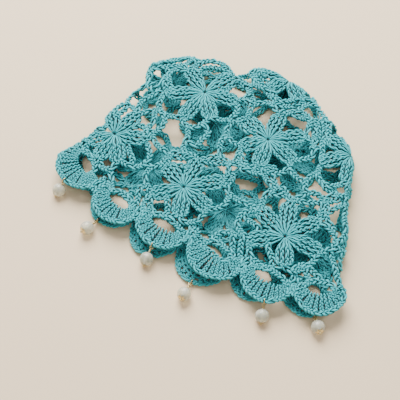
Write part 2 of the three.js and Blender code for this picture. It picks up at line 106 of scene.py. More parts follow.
# Six-petal motifs: name, side, where the middle lies on the chart, and the petals. A petal is its
# angle, its length, the reach of the chain loop from its tip to the next petal's, and how far that
# loop leans past the middle, in degrees and millimetres.
MOTIF_ROWS = [
    ("crown_motif", FRONT, 3, 138, [
        (-108, 22, 26, 0), (-45, 24, 28, 0), (15, 25, 33, 0),
        (75, 25, 33, 0), (135, 25, 33, 0), (195, 24, 30, 0)]),
    ("upper_motif_1", FRONT, -49.4, 86.6, [
        (-147, 32, 40, 0), (-94, 32, 37, -6), (-48, 27, 34, 0),
        (11, 28, 36, -4), (66, 29, 33, -4), (152, 27, 35, 0)]),
    ("upper_motif_2", FRONT, 18.9, 72.7, [
        (-128, 23, 32, 0), (-75, 26, 33, 0), (-17, 28, 37, 0),
        (40, 30, 39, 0), (97, 26, 36, 0), (160, 26, 33, 0)]),
    ("upper_motif_3", FRONT, 82.4, 96.1, [
        (170, 23, 24, 0), (232, 27, 37, 0), (290, 27, 36, 0),
        (350, 26, 36, 0), (50, 26, 36, 0), (110, 26, 34, 0)]),
    ("upper_motif_4", BACK, 38, 74, [
        (0, 23, 24, 0), (62, 23, 27, 0), (118, 23, 27, 0),
        (180, 25, 32, 0), (240, 25, 34, 0), (298, 23, 27, 0)]),
    ("upper_motif_5", BACK, -30, 73, [
        (0, 23, 28, 0), (60, 23, 27, 0), (120, 24, 30, 0),
        (180, 23, 28, 0), (240, 25, 33, 0), (300, 23, 27, 0)]),
    ("upper_motif_6", BACK, -84, 86, [
        (10, 20, 22, 0), (70, 24, 33, 0), (130, 25, 34, 0),
        (190, 25, 34, 0), (250, 25, 35, 0), (310, 22, 25, 0)]),
    ("lower_motif_1", FRONT, -90, 14, [
        (-130, 22, 27, 0), (-85, 26, 33, 0), (-49, 26, 37, 0),
        (16, 26, 41, 8), (76, 25, 29, 0), (130, 22, 36, 0)]),
    ("lower_motif_2", FRONT, -15.7, 1.1, [
        (-131, 25, 31, -5), (-67, 26, 32, -6), (-15, 28, 36, 0),
        (38, 31, 39, 0), (94, 26, 31, 6), (157, 24, 31, -5)]),
    ("lower_motif_3", FRONT, 73.3, 4.1, [
        (-142, 28, 31, 0), (-64, 25, 30, -8), (2, 29, 37, -6),
        (58, 28, 42, 0), (111, 29, 40, -6), (160, 30, 37, 0)]),
    ("lower_motif_4", BACK, 92, 8, [
        (-20, 24, 32, 0), (32, 25, 32, 0), (92, 22, 26, 0),
        (150, 24, 31, 0), (205, 25, 32, 0), (260, 23, 25, 0)]),
    ("lower_motif_5", BACK, 20, 6, [
        (28, 24, 26, 0), (88, 19, 22, 0), (148, 24, 33, 0),
        (208, 25, 29, 0), (268, 24, 27, 0), (328, 25, 33, 0)]),
    ("lower_motif_6", BACK, -54, 8, [
        (18, 25, 33, 0), (78, 25, 33, 0), (143, 25, 34, 0),
        (205, 25, 31, 0), (262, 24, 26, 0), (322, 25, 33, 0)]),
]
MOTIF_COLUMNS = ("name", "side", "x", "y", "petals")
MOTIFS = [dict(zip(MOTIF_COLUMNS, row)) for row in MOTIF_ROWS]

# Chains given one by one: the piece that each belongs to, the earlier piece that it reaches for in
# place of the shortest bridge to it, and its way across the chart.
HAND_CHAINS = [
    ("lower_motif_1", None, [(-73, 48), (-69, 40), (-70, 31), (-66, 22)]),
    ("upper_motif_2", None, [(-18, 98), (-9, 95)]),
    ("lower_motif_2", "upper_motif_1", [(-43, 50), (-37, 40), (-35, 31), (-30, 26)]),
    ("lower_motif_2", None, [(-12, 59), (-11, 48), (-7, 40), (-5, 34)]),
    ("lower_motif_3", "lower_motif_2", [(18, 14), (30, 12), (45, 14)]),
    ("lower_motif_3", "upper_motif_3", [(69, 66), (64, 58), (65, 50), (70, 44)]),
    ("lower_motif_3", None, [(47, 55), (56, 53), (65, 52)]),
    ("lower_motif_3", None, [(82, 46), (89, 54), (98, 59)]),
    ("lower_motif_3", None, [(93, 68), (99, 56), (105, 40), (112, 28), (108, 17)]),
    ("lower_motif_3", None, [(89, 29), (93, 41), (100, 52)]),
    ("scallop_3", None, [(-29, -38), (-34, -28), (-34, -18)]),
    ("scallop_4", "lower_motif_2", [(8, -26), (12, -31), (18, -37)]),
]

# Shorter chains that fill the net between the larger ones: each one's way across its piece's side
# of the chart.
FILL_CHAINS = {
    "crown_motif": [
        [(-27, 124), (-13, 118), (0, 111)], [(4, 105), (16, 110), (24, 120)],
        [(-19, 127), (-13, 124), (-7, 121)], [(26, 114), (30, 120), (37, 123)]],
    "upper_motif_1": [
        [(-36, 114), (-22, 109), (-11, 100)], [(-67, 104), (-58, 113), (-46, 116)],
        [(-89, 91), (-80, 80), (-69, 70)], [(-104, 81), (-92, 91), (-81, 101)],
        [(-100, 95), (-89, 104), (-80, 113)], [(-36, 95), (-34, 103), (-33, 112)],
        [(-84, 96), (-79, 103), (-77, 111)]],
    "upper_motif_2": [
        [(16, 104), (30, 106), (46, 111)], [(-13, 28), (6, 38), (22, 43), (35, 51)],
        [(29, 45), (39, 38), (48, 33)], [(5, 52), (12, 45), (17, 42)],
        [(16, 37), (22, 39), (30, 41)], [(-12, 75), (-7, 73), (1, 70)]],
    "upper_motif_3": [
        [(39, 108), (48, 97), (53, 82)], [(48, 113), (55, 101), (59, 88)],
        [(45, 107), (50, 100), (53, 92)]],
    "upper_motif_4": [
        [(15, 108), (23, 103), (33, 103)], [(69, 30), (68, 41)], [(67, 72), (79, 74)],
        [(52, 50), (64, 51)], [(28, 132), (40, 121), (50, 111)], [(40, 90), (42, 100)],
        [(63, 48), (71, 50), (76, 43)], [(7, 38), (13, 46), (22, 49)], [(41, 29), (49, 35)]],
    "upper_motif_5": [
        [(-36, 118), (-24, 119), (-13, 119)], [(-22, 110), (-14, 112), (-2, 114)],
        [(-27, 106), (-16, 98)], [(-40, 46), (-30, 46), (-21, 47)], [(-32, 38), (-23, 41)],
        [(-20, 60), (-6, 61)], [(-35, 90), (-27, 95)]],
    "upper_motif_6": [
        [(-67, 112), (-56, 115), (-49, 123)], [(-72, 113), (-63, 120), (-53, 124)]],
    "lower_motif_1": [
        [(-64, 27), (-57, 24), (-49, 21)], [(-81, 26), (-76, 31), (-67, 31)],
        [(-77, 13), (-70, 6), (-64, 1)], [(-80, 67), (-88, 54), (-87, 44), (-83, 38)],
        [(-109, 11), (-102, 13), (-100, 21)], [(-97, 32), (-95, 41)]],
    "lower_motif_2": [
        [(6, 31), (13, 28), (13, 20)], [(-44, -17), (-40, -28), (-35, -38)],
        [(-24, -13), (-17, -19), (-14, -26)], [(-41, 18), (-32, 22), (-26, 28)],
        [(-35, 14), (-26, 17)], [(-27, 38), (-26, 44), (-25, 53)]],
    "lower_motif_3": [
        [(36, 5), (44, 1), (52, 0)], [(61, 33), (72, 37), (83, 44), (92, 51)],
        [(86, 45), (92, 35), (102, 27)], [(46, -12), (50, -23), (56, -32)],
        [(40, -17), (45, -26), (48, -35)], [(28, -23), (33, -16), (43, -14)],
        [(26, -36), (35, -37), (42, -39)], [(47, 30), (60, 35)], [(115, 4), (122, -4), (129, -12)],
        [(98, -9), (105, -11), (111, -13)], [(70, -14), (75, -18), (78, -24)],
        [(76, 58), (82, 56), (87, 57)]],
    "lower_motif_4": [
        [(65, 36), (74, 40), (84, 41)], [(97, 31), (103, 20)], [(108, 0), (118, -5)],
        [(55, -11), (66, -10)]],
    "lower_motif_5": [
        [(-12, 26), (-7, 33), (1, 32)], [(9, 27), (8, 36), (17, 40), (27, 42)],
        [(23, 17), (29, 23), (39, 25)], [(39, 0), (49, 3)], [(-18, 38), (-8, 37)],
        [(4, 26), (16, 29)], [(-14, 30), (-4, 36)], [(41, 5), (52, 6)], [(6, -16), (14, -18)],
        [(24, -22), (28, -17), (32, -11)], [(41, -17), (46, -13), (52, -9)],
        [(44, -24), (50, -19), (56, -15)]],
    "lower_motif_6": [
        [(-76, -11), (-69, -12), (-60, -13)], [(-30, -26), (-26, -17), (-20, -18)]],
}

# Scallops: side, middle of the eyelet, the way the fan faces in degrees, the fan's half width and
# drop, and the eyelet's half width, sag and rise.
SCALLOP_ROWS = [
    (FRONT, -95, -22, 236, 23, 21, 10, 5, 5),
    (FRONT, -52, -37, 258, 20, 18, 10, 4, 5),
    (FRONT, -10, -36, 270, 21, 19, 12, 4, 4),
    (FRONT, 37, -35, 268, 23, 21, 11, 5, 5),
    (FRONT, 80, -33, 272, 20, 19, 12, 4, 4),
    (FRONT, 117, -22, 295, 19, 19, 9, 4, 5),
    (BACK, 109, -23, 286, 19, 19, 10, 4, 7),
    (BACK, 70, -30, 270, 19, 22, 11, 5, 7),
    (BACK, 29, -37, 268, 22, 25, 12, 7, 10),
    (BACK, -14, -36, 266, 21, 25, 12, 7, 10),
    (BACK, -55, -34, 258, 20, 21, 10, 5, 8),
    (BACK, -97, -18, 226, 22, 20, 10, 4, 5),
]
SCALLOP_COLUMNS = ("side", "x", "y", "facing", "half", "drop", "eyelet", "sag", "rise")
SCALLOPS = [
    {"name": f"scallop_{number}", **dict(zip(SCALLOP_COLUMNS, row))}
    for number, row in enumerate(SCALLOP_ROWS, 1)
]

# Beads: the scallop that each hangs on, and where its middle lies.
DROPS = [
    ("scallop_1", -100.2, -49.5), ("scallop_3", -7.4, -64.3), ("scallop_5", 90.1, -59),
    ("scallop_7", 128.9, -45.1), ("scallop_9", 32.4, -74.1), ("scallop_11", -61.3, -66),
]

# Rings, pins and caps: how steeply a ring hangs, how far in from the rim its hole lies, the radii
# of ring and eye, the least length of the pin's neck, the radius of the bead's bore, and the
# cap's reach round the bead and its number of points
RING_DROP = math.radians(45)
RIM_MARGIN = 2.1
RING_RADIUS = 2
EYE_RADIUS = 1.3
NECK_LENGTH = 0.6
BORE_RADIUS = 0.75
CAP_ANGLE = math.radians(39)
CAP_POINTS = 6

# The camera's distance in metres, and the scale and width of the picture
CAMERA_DISTANCE = 0.75
MM_PER_PIXEL = 0.78
PICTURE_WIDTH = 400


# Settings

class YarnSettings(bpy.types.PropertyGroup):
    strand: bpy.props.FloatProperty(
        name="Strand radius", description="Half the width of one strand of yarn",
        default=0.00064, min=0.0003, max=0.001, unit="LENGTH", precision=5)
    plait: bpy.props.FloatProperty(
        name="Stitch length", description="Length of three chain stitches",
        default=0.0115, min=0.008, max=0.02, unit="LENGTH", precision=4)
    petal_posts: bpy.props.IntProperty(
        name="Posts in a petal", description="Twisted posts that fan out in each petal",
        default=4, min=3, max=7)
    scallop_posts: bpy.props.IntProperty(
        name="Posts in a scallop", description="Twisted posts round a scallop 40 mm wide",
        default=15, min=9, max=31)
    colour: bpy.props.FloatVectorProperty(
        name="Yarn colour", description="Colour of the cotton yarn in full light",
        default=(0.055, 0.74, 0.8), size=3, min=0, max=1, subtype="COLOR")
    # Painted shade: the colour that the yarn's material puts between the plies, and at half
    # strength in crevices, on cores and on strands that pass under others
    shade: bpy.props.FloatVectorProperty(
        name="Painted shade colour", description="Colour between the plies of the yarn",
        default=(0.03, 0.085, 0.095), size=3, min=0, max=1, subtype="COLOR")


class DropSettings(bpy.types.PropertyGroup):
    bead: bpy.props.FloatProperty(
        name="Bead radius", description="Radius of a bead",
        default=0.00525, min=0.003, max=0.008, unit="LENGTH", precision=5)
    wire: bpy.props.FloatProperty(
        name="Wire radius", description="Radius of the wire of the pins",
        default=0.00035, min=0.0002, max=0.0006, unit="LENGTH", precision=5)
    stone: bpy.props.FloatVectorProperty(
        name="Stone colour", description="Colour of the milky stone",
        default=(0.88, 0.89, 0.73), size=3, min=0, max=1, subtype="COLOR")
    gold: bpy.props.FloatVectorProperty(
        name="Wire colour", description="Colour of the gilt wire",
        default=(0.78, 0.63, 0.33), size=3, min=0, max=1, subtype="COLOR")


class StageSettings(bpy.types.PropertyGroup):
    floor: bpy.props.FloatVectorProperty(
        name="Floor colour", description="Colour of the plain floor",
        default=(0.97, 0.76, 0.51), size=3, min=0, max=1, subtype="COLOR")
    key: bpy.props.FloatProperty(
        name="Key light", description="Strength of the large soft light",
        default=80.0, min=0, unit="POWER")
    tilt: bpy.props.FloatProperty(
        name="Camera height", description="Angle of the camera above the floor",
        default=math.radians(58), subtype="ANGLE")
    turn: bpy.props.FloatProperty(
        name="Camera turn", description="Angle of the camera round the hat from its front",
        default=math.radians(32), subtype="ANGLE")


# Chart and fold

def spline(points, count):
    """Points on a smooth curve through the given ones."""
    points = np.asarray(points, float)
    last = len(points) - 1
    at = np.linspace(0, last, count)
    index = np.minimum(at.astype(int), last - 1)
    share = (at - index)[:, None]
    before, start, end, after = (points[np.clip(index + step, 0, last)] for step in (-1, 0, 1, 2))
    leave = (end - before) / 2
    arrive = (after - start) / 2
    return ((2 * start - 2 * end + leave + arrive) * share ** 3
            + (3 * end - 3 * start - 2 * leave - arrive) * share ** 2
            + leave * share + start)


FOLD = spline(FOLD_WAY, 201)


def smooth_share(value, low, high):
    share = np.clip((value - low) / (high - low), 0, 1)
    return share * share * (3 - 2 * share)


def front_height(y):
    return BRIM_HEIGHT + (CROWN_HEIGHT - BRIM_HEIGHT) * smooth_share(y, BRIM_Y, CROWN_Y)


def layer_height(y, side):
    return front_height(y) if side == FRONT else np.full_like(y, BACK_HEIGHT)


def fold_at(spots):
    """Foot on the fold line, way in from it, signed distance in and fold radius of each spot."""
    runs = FOLD[1:] - FOLD[:-1]
    offsets = spots[:, None] - FOLD[:-1]
    share = np.clip((offsets * runs).sum(-1) / (runs * runs).sum(-1), 0, 1)
    feet = FOLD[:-1] + share[..., None] * runs
    nearest = np.linalg.norm(spots[:, None] - feet, axis=-1).argmin(1)
    foot = feet[np.arange(len(spots)), nearest]
    run = runs[nearest]
    inward = np.column_stack((run[:, 1], -run[:, 0])) / np.linalg.norm(run, axis=1)[:, None]
    depth = ((spots - foot) * inward).sum(1) - FOLD_INSET
    radius = (front_height(foot[:, 1]) - BACK_HEIGHT) / 2
    return foot, inward, depth, radius


def place(spots, side, lift):
    """Chart spots, lifted off the middle surface on its outer side, in space."""
    foot, inward, depth, radius = fold_at(spots)
    quarter = math.pi * radius / 2
    along = depth - radius + quarter
    angle = along / radius
    flat = np.column_stack((spots, layer_height(spots[:, 1], side) + side * lift))
    reach = FOLD_INSET + radius - (radius + lift) * np.cos(angle)
    height = BACK_HEIGHT + radius + side * (radius + lift) * np.sin(angle)
    round_fold = np.column_stack((foot + inward * reach[:, None], height))
    beyond = foot + inward * (FOLD_INSET + radius - along - quarter)[:, None]
    past_fold = np.column_stack((beyond, layer_height(beyond[:, 1], -side) - side * lift))
    placed = np.where((along > -quarter)[:, None], round_fold, past_fold)
    return np.where((depth >= radius)[:, None], flat, placed)


def across_fold(spots):
    """Spots of one layer's chart as the other layer's chart counts them."""
    foot, inward, depth, radius = fold_at(spots)
    return foot + inward * (2 * radius - math.pi * radius - depth + FOLD_INSET)[:, None]


# Paths on the chart

def travelled(path):
    steps = np.linalg.norm(np.diff(path, axis=0), axis=1)
    return np.concatenate(([0], np.cumsum(steps)))


def equal_steps(path, count):
    path = np.asarray(path, float)
    distance = travelled(path)
    at = np.linspace(0, distance[-1], count)
    return np.column_stack([np.interp(at, distance, path[:, axis]) for axis in (0, 1)])


def smooth_path(points, step=1.0):
    """A smooth path through the points, with equal steps of about the given length."""
    fine = spline(points, 24 * len(points))
    return equal_steps(fine, max(4, round(travelled(fine)[-1] / step) + 1))


def facing_ways(degrees):
    """The way that an angle faces, and the way to its left."""
    angle = math.radians(degrees)
    outward = np.array((math.cos(angle), math.sin(angle)))
    return outward, np.array((-outward[1], outward[0]))


def middle_of(piece):
    return np.array((piece["x"], piece["y"]))


def polar(piece, degrees, reach):
    return middle_of(piece) + reach * facing_ways(degrees)[0]


def loop_corners(motif, index):
    """The chain loop from one petal's tip out to its reach and back to the next petal's tip."""
    angle, length, reach, lean = motif["petals"][index]
    next_angle, next_length = motif["petals"][(index + 1) % len(motif["petals"])][:2]
    turn = (next_angle - angle) % 360
    apex = angle + turn / 2 + lean
    shoulder = LOOP_SHOULDER * turn
    return np.array([
        polar(motif, angle, length),
        polar(motif, apex - shoulder, reach),
        polar(motif, apex + shoulder, reach),
        polar(motif, next_angle, next_length),
    ])


def scallop_spot(scallop, turn, half, drop):
    """A spot of a scallop's ellipses: turn 0 is the fan's middle, a half turn the eyelet's top."""
    outward, sideways = facing_ways(scallop["facing"])
    ellipse = np.outer(drop * np.cos(turn), outward) + np.outer(half * np.sin(turn), sideways)
    return middle_of(scallop) + ellipse


def eyelet_corners(scallop):
    inset = 0.06
    turns = np.linspace(math.pi / 2 + inset, 1.5 * math.pi - inset, 5)
    margin = CHAIN_WIDTH / 2
    return scallop_spot(scallop, turns, scallop["eyelet"] + margin, scallop["rise"] + margin)


def centre_lines(piece):
    if "petals" in piece:
        return [loop_corners(piece, index) for index in range(len(piece["petals"]))]
    return [eyelet_corners(piece)]


def bridge(piece, neighbour, steps=17):
    """The short chain across to a neighbour, where the two come closest."""
    near = np.vstack([equal_steps(line, steps) for line in centre_lines(piece)])
    far = np.vstack([equal_steps(line, steps) for line in centre_lines(neighbour)])
    if piece["side"] != neighbour["side"]:
        far = across_fold(far)
    gaps = np.linalg.norm(near[:, None] - far, axis=-1)
    i, j = np.unravel_index(gaps.argmin(), gaps.shape)
    return np.array([near[i], far[j]])


def joins():
    """The pieces before it that each piece is crocheted onto."""
    upper = MOTIFS[1:7]
    lower = MOTIFS[7:]
    table = {"crown_motif": []}
    for i, motif in enumerate(upper):
        table[motif["name"]] = [MOTIFS[0]] + ([upper[i - 1]] if i else [])
    table["upper_motif_6"].append(upper[0])
    for i, motif in enumerate(lower):
        table[motif["name"]] = [upper[i], upper[(i + 5) % 6]] + ([lower[i - 1]] if i else [])
    table["lower_motif_6"].append(lower[0])
    for i, scallop in enumerate(SCALLOPS):
        table[scallop["name"]] = [lower[i // 2]]
    return table


def join_paths(piece, table):
    """The ways of a piece's listed chains and of its bridges to earlier pieces."""
    rows = [row for row in HAND_CHAINS if row[0] == piece["name"]]
    reached = {row[1] for row in rows}
    others = [other for other in table[piece["name"]] if other["name"] not in reached]
    return [row[2] for row in rows] + [bridge(piece, other) for other in others]


def net_spots(side, table, steps=33):
    """Spots along every petal, loop, eyelet chain and joining chain of one layer."""
    lines = []
    for piece in MOTIFS + SCALLOPS:
        if piece["side"] == side:
            lines += centre_lines(piece) + join_paths(piece, table)
            for angle, length, *_ in piece.get("petals", []):
                lines.append([polar(piece, angle, PETAL_ROOT), polar(piece, angle, length)])
    return np.vstack([equal_steps(line, steps) for line in lines])


def fastened(way, net):
    """A filling chain's way, drawn on at both ends to the yarn that lies ahead of it."""
    path = [np.array(spot, float) for spot in way]
    for _ in range(2):
        path.reverse()
        ahead = path[-1] - path[-2]
        reach = net - path[-1]
        distance = np.linalg.norm(reach, axis=1)
        in_front = reach @ ahead > END_COSINE * np.linalg.norm(ahead) * distance
        nearest = np.where(in_front, distance, np.inf).argmin()
        if distance.min() > END_GAP and in_front[nearest] and distance[nearest] < END_REACH:
            path.append(net[nearest])
    return path


# Strands

def shifted(path, across, lift, thickness=1.0, depth=0.0):
    """A strand beside a path, one row to a point: its chart x and y, its lift off the middle
    surface, its thickness, and its depth in the stitch, from 0 at the face to 1 at the core, which
    sets how much painted shade it takes."""
    ahead = np.gradient(path, axis=0)
    ahead /= np.linalg.norm(ahead, axis=1)[:, None]
    sideways = np.column_stack((-ahead[:, 1], ahead[:, 0]))
    ones = np.ones(len(path))
    moved = path + sideways * np.reshape(across * ones, (-1, 1))
    uneven = 1 + 0.09 * np.sin(1.9 * moved[:, 0] + 1.3 * moved[:, 1])
    return np.column_stack((moved, lift * ones, thickness * uneven, depth * ones))


def sway(path, rng, size, wave=8.0):
    """A slow uneven sway along a path."""
    distance = travelled(path[:, :2])
    first = rng.uniform(0, TAU)
    second = rng.uniform(0, TAU)
    slow = np.sin(TAU * distance / (1.7 * wave) + second)
    return size * (np.sin(TAU * distance / wave + first) + slow) / 2


def plaited(path, rng, pitch, half_width=1.85, rise=0.95, taper=2.5, base=0.0, thickness=1.42):
    """A chain: three strands plaited along a path round a core, drawn together at its two ends."""
    distance = travelled(path)
    ends = np.minimum(distance, distance[-1] - distance) / taper
    draw = 0.45 + 0.55 * smooth_share(ends, 0, 1)
    begin = rng.uniform(0, TAU)
    drift = sway(path, rng, 0.35, 17)
    height = base + sway(path, rng, 0.5, 21)
    slack = sway(path, rng, 1.1, 13)
    strands = []
    for strand in range(3):
        turn = begin + slack + TAU * (distance / pitch + strand / 3)
        across = half_width * draw * np.sin(turn) + drift + sway(path, rng, 0.3, 5)
        lift = height + rise * np.sin(2 * turn) + sway(path, rng, 0.2, 5)
        # Parts of a strand that pass under the others take painted shade
        strands.append(shifted(path, across, lift, thickness, 0.35 - 0.35 * np.sin(2 * turn)))
    # The core is painted dark as shade in the gaps between the strands
    core = shifted(path, drift, height - 0.35, 0.9 * thickness, 1)
    return strands + [core[::2]]


def post(path, rng, turns, spread, rise, lift, thickness):
    """A post: strands that leave as one and plait further out, the first two joined at the end."""
    wander = sway(path, rng, 0.2, 11)
    begin = rng.choice((0.25, 1.25)) * math.pi
    turns = turns + sway(path, rng, 0.12, 13)
    strands = []
    for strand in range(3):
        turn = begin + TAU * (turns + strand / 3)
        across = wander + spread * np.sin(turn) + sway(path, rng, 0.22, 5)
        under = np.sin(2 * turn)
        # Parts of a strand that pass under the others take painted shade
        strands.append(shifted(path, across, lift + rise * under, thickness, 0.35 - 0.35 * under))
    over, under, third = strands
    ahead = path[-1] - path[-2]
    ahead = np.append(ahead / np.linalg.norm(ahead), (0, 0, 0))
    middle = (over[-1] + under[-1]) / 2
    arm = (over[-1] - under[-1]) / 2
    reach = max(0.6, np.linalg.norm(arm[:3]))
    bend = [middle + arm * math.cos(angle) + ahead * reach * math.sin(angle)
            for angle in (0.25 * math.pi, 0.5 * math.pi, 0.75 * math.pi)]
    third[-1, 2] -= 0.8
    # The core is painted dark as shade in the gaps between the strands
    core = shifted(path, wander, lift - 0.5, thickness, 1)
    return [np.vstack((over, bend, under[::-1])), third, core[::2]]


def petal_width(share):
    """Half the width of a petal, from its centre to its tip, in millimetres."""
    opening = 5.5 * np.sin(0.5 * math.pi * np.minimum(share / 0.62, 1))
    return opening * np.cos(1.6 * np.maximum(share - 0.62, 0))


def petal_post(spots, length, lean, start, tilt, rng):
    """One post of a petal, whose lean runs from -1 at the petal's one side to 1 at the other."""
    end = 1 - 0.1 * lean * lean
    shares = np.linspace(start / length, end, round(length * end / STRAND_STEP))
    reach = shares * length
    beyond = np.clip(reach - 0.3 * length, 0, None)
    plaiting = beyond ** 2 / (beyond + 2.5)
    spread = 0.08 + 0.9 * smooth_share(reach, 0.12 * length, 0.5 * length)
    rise = 0.2 + 0.7 * smooth_share(reach, 0.2 * length, 0.5 * length)
    dip = 1.6 * np.clip(1 - reach / 4.0, 0, 1) ** 2
    dome = (0.8 - 1.2 * lean * lean) * np.sin(math.pi * np.minimum(shares, 0.9))
    dome += tilt * shares ** 2
    thickness = 0.66 + 0.5 * smooth_share(reach, 0.5, 9)
    path = spots(shares, lean * petal_width(shares))
    return post(path, rng, plaiting / PETAL_PLAIT, spread, rise, dome - dip, thickness)


def petal_strands(motif, index, yarn, rng):
    """A petal's fan of posts, the yarn under them, painted dark as shade, and the plait round its
    tip.
    """
    angle, length = motif["petals"][index][:2]
    along, sideways = facing_ways(angle + rng.uniform(-2, 2))
    tilt = rng.uniform(-0.5, 0.9)

    def spots(shares, across):
        return middle_of(motif) + np.outer(shares * length, along) + np.outer(across, sideways)

    strands = []
    for number in range(yarn.petal_posts):
        lean = 2 * number / (yarn.petal_posts - 1) - 1
        start = 1.7 if number % 2 else 1.0
        strands += petal_post(spots, length, lean, start, tilt, rng)

    shares = np.linspace(5 / length, 0.92, 12)
    for lean in (-0.67, 0, 0.67):
        path = spots(shares, lean * petal_width(shares))
        strands.append(shifted(path, 0, UNDER_PETAL[motif["side"]], UNDER_THICKNESS, 1))
    rim_shares = np.array((0.76, 0.88, 0.97, 1.0, 0.97, 0.88, 0.76))
    rim_widths = 6.0 * np.array((-1.0, -0.85, -0.5, 0.0, 0.5, 0.85, 1.0))
    rim_path = smooth_path(spots(rim_shares, rim_widths))
    strands += plaited(rim_path, rng, 10, half_width=1.15, rise=0.8, base=tilt - 0.4, thickness=1.2)
    return strands


def centre_ring(motif):
    """The small ring that a motif's petals start from, painted dark as shade."""
    angles = np.linspace(0, TAU, 17)
    circle = np.column_stack((motif["x"] + 0.9 * np.cos(angles), motif["y"] + 0.9 * np.sin(angles)))
    return [shifted(circle, 0, -1.5, 1.2, 1)]


def motif_strands(motif, yarn, rng):
    strands = centre_ring(motif)
    for index in range(len(motif["petals"])):
        strands += petal_strands(motif, index, yarn, rng)
        strands += plaited(smooth_path(loop_corners(motif, index)), rng, yarn.plait / MM)
    return strands


def fan_spot(scallop, turn, margin):
    """A spot on a scallop's outer edge, whose arms reach up past the eyelet's two sides."""
    drop = scallop["drop"] if abs(turn) < math.pi / 2 else ARM_DROP
    return scallop_spot(scallop, turn, scallop["half"] + 1 - margin, drop + 1.2 - margin)[0]


def scallop_posts(scallop, yarn, rng):
    """The fan of posts, from its outer edge in to the eyelet."""
    strands = []
    count = round(yarn.scallop_posts * scallop["half"] / 20)
    for turn in np.linspace(-FAN_TURN, FAN_TURN, count):
        sag = scallop["sag"] if abs(turn) < math.pi / 2 else ARM_SAG
        inner = scallop_spot(scallop, turn, scallop["eyelet"] + 0.1, sag - 0.6)[0]
        outer = fan_spot(scallop, turn + rng.uniform(-0.045, 0.045), POST_MARGIN)
        length = np.linalg.norm(outer - inner)
        path = equal_steps([outer, inner], max(6, round(length / STRAND_STEP)))
        shares = np.linspace(1, 0, len(path))
        spread = 0.45 + 1.05 * shares
        dome = 0.35 * np.sin(math.pi * shares)
        turns = shares * length / SCALLOP_PLAIT
        strands += post(path, rng, turns, spread, 0.9, dome, 0.93 + 0.27 * shares)
    return strands


def shaded_backing_arcs(scallop):
    """Four arcs of yarn under the posts, as the hat lies, painted dark as shade."""
    turns = np.linspace(-1.5, 1.5, 40)
    eyelet_edge = scallop_spot(scallop, turns, scallop["eyelet"], scallop["sag"])
    fan_edge = np.array([fan_spot(scallop, turn, POST_MARGIN) for turn in turns])
    arcs = [eyelet_edge + share * (fan_edge - eyelet_edge) for share in (0.15, 0.35, 0.55, 0.75)]
    lift = UNDER_SCALLOP[scallop["side"]]
    return [shifted(equal_steps(arc, 36), 0, lift, UNDER_THICKNESS, 1) for arc in arcs]


def scallop_strands(scallop, yarn, rng):
    strands = scallop_posts(scallop, yarn, rng) + shaded_backing_arcs(scallop)
    rim = equal_steps([fan_spot(scallop, turn, 1.9) for turn in np.linspace(-1.8, 1.8, 60)], 80)
    strands += plaited(rim, rng, 11, half_width=1.4, rise=0.9, base=0.5, thickness=1.3)
    strands += plaited(smooth_path(eyelet_corners(scallop)), rng, yarn.plait / MM)
    return strands


def junction_strands(scallop, yarn, rng):
    """Two short columns of stitches between a scallop and the next one, up towards the net."""
    index = SCALLOPS.index(scallop)
    if index % 6 == 5:
        return []
    neighbour = SCALLOPS[index + 1]
    quarter = scallop["side"] * math.pi / 2
    end = scallop_spot(scallop, quarter, scallop["half"], 0)[0]
    start = scallop_spot(neighbour, -quarter, neighbour["half"], 0)[0]
    outward, sideways = facing_ways((scallop["facing"] + neighbour["facing"]) / 2)
    strands = []
    for across in (-2.3, 2.3):
        column = [(start + end) / 2 + widening * across * sideways + reach * outward
                  for widening, reach in ((1, 6), (1, -3), (1.2, -10))]
        strands += plaited(smooth_path(column), rng, yarn.plait / MM, taper=1.5, base=0.3)
    return strands


def rim_share(scallop, spots):
    """How far out each spot lies between a scallop's eyelet (0) and its rim (1)."""
    outward, sideways = facing_ways(scallop["facing"])
    away = spots - middle_of(scallop)
    reach = np.hypot(away @ outward / scallop["drop"], away @ sideways / scallop["half"])
    return np.where(away @ outward > 0, smooth_share(reach, 0.3, 1), 0)


def in_space(piece, strand, radius):
    """A strand of the chart bent round the fold, in metres of the hat's frame."""
    spots, lift, thickness, depth = strand[:, :2], strand[:, 2], strand[:, 3], strand[:, 4]
    rise = 0
    if "petals" not in piece:
        share = rim_share(piece, spots)
        lift = lift * (1 - (1 - FAN_RIM_THICKNESS / THICKNESS) * share)
        rise = BACK_RIM_LIFT * share if piece["side"] == BACK else 0
    spot = place(spots, piece["side"], lift)
    spot[:, 2] = np.maximum(spot[:, 2] + rise, radius * thickness)
    # The lower layer's strands keep only a share of the painted shade
    in_upper_layer = spot[:, 2] > 0.5 * front_height(spot[:, 1])
    depth = depth * np.where(in_upper_layer, 1, LOWER_CORE_SHADE)
    return np.column_stack(((spot + CHART_TO_HAT) * MM, thickness, depth))


# Making meshes

def tube_mesh(name, lines, radius, closed=False, sides=1):
    """Round tubes along lines of points in metres, with a thickness and a depth at each point."""
    curve = bpy.data.curves.new(name, "CURVE")
    curve.dimensions = "3D"
    curve.bevel_depth = radius
    curve.bevel_resolution = sides
    curve.use_fill_caps = not closed
    for line in lines:
        thread = curve.splines.new("POLY")
        thread.points.add(len(line) - 1)
        thread.points.foreach_set("co", np.column_stack((line[:, :3], np.ones(len(line)))).ravel())
        thread.points.foreach_set("radius", line[:, 3])
        thread.use_cyclic_u = closed
    holder = bpy.data.objects.new(name, curve)
    bpy.context.scene.collection.objects.link(holder)
    depsgraph = bpy.context.evaluated_depsgraph_get()
    mesh = bpy.data.meshes.new_from_object(holder.evaluated_get(depsgraph))
    bpy.data.objects.remove(holder)
    bpy.data.curves.remove(curve)
    mesh.name = name
    mark_corners(mesh, lines, closed)
    return mesh


